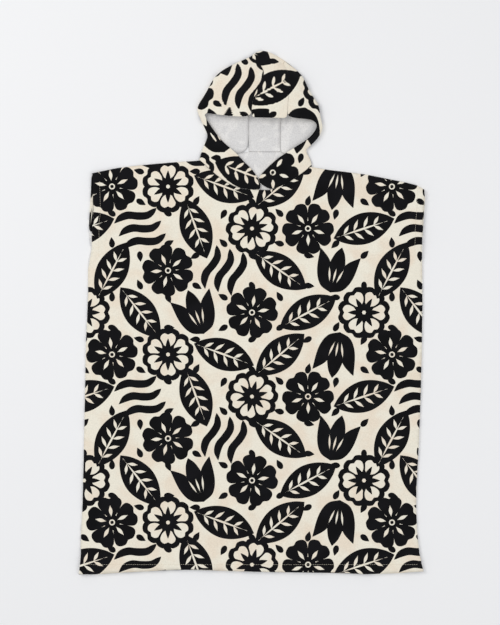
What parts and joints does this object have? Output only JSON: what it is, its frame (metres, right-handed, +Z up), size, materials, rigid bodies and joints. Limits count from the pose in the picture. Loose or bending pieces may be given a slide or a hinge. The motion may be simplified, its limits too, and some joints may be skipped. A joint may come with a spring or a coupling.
{
  "type": "hooded bath poncho laid out flat",
  "caption": "Hooded bath poncho of velour terry with a bold leaf and flower print, laid flat on its back with the hood open.",
  "frame": {"origin": "on the table under the middle of the garment's box", "axes": "+Z up from the table, +Y from the hem towards the hood, +X to the right as laid out"},
  "size_m": [0.8664, 1.3114, 0.0322],
  "materials": {
    "printed_velour": "sheared cotton velour, black leaves and flowers on cream, white looped terry behind",
    "turned_hem": "the same cloth turned in and stitched, wrong side showing"
  },
  "bodies": {
    "root": {"front_panel": "printed_velour", "back_panel": "printed_velour", "hood_side_left": "printed_velour", "hood_side_right": "printed_velour", "hood_gusset": "printed_velour", "front_hem": "turned_hem", "back_hem": "turned_hem", "left_armhole_hem_front": "turned_hem", "left_armhole_hem_back": "turned_hem", "right_armhole_hem_front": "turned_hem", "right_armhole_hem_back": "turned_hem", "hood_rim_hem_left": "turned_hem", "hood_rim_hem_right": "turned_hem", "hood_rim_hem_gusset": "turned_hem"}
  },
  "joints": []
}
